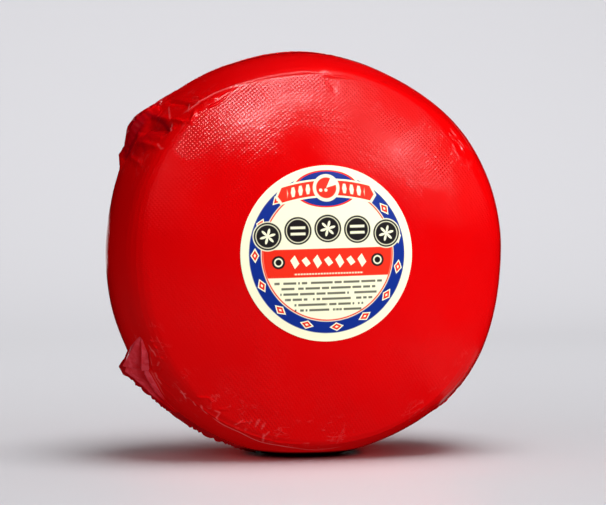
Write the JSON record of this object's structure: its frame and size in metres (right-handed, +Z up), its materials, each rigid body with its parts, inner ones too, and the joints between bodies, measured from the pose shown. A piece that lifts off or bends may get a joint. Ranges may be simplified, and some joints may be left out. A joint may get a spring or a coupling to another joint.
{
  "type": "wrapped ball of cheese",
  "caption": "Thick domed wheel of cheese shrink-wrapped in glossy red film with a round paper label, standing on its rim on a small flat spot.",
  "frame": {"origin": "on the floor under the middle of the whole thing, at the middle of the flat spot that it stands on", "axes": "+Z up, the wheel's axis along Y with the labelled face towards -Y, +X to the right as seen from the front"},
  "size_m": [0.2228, 0.1202, 0.2252],
  "materials": {
    "red_film": "glossy red shrink film with a faint cloth weave pressed into it",
    "label_paper": "satin printed paper in cream, blue, red and black"
  },
  "bodies": {
    "root": {"wrapped_wheel": "red_film", "label": "label_paper"}
  },
  "joints": []
}
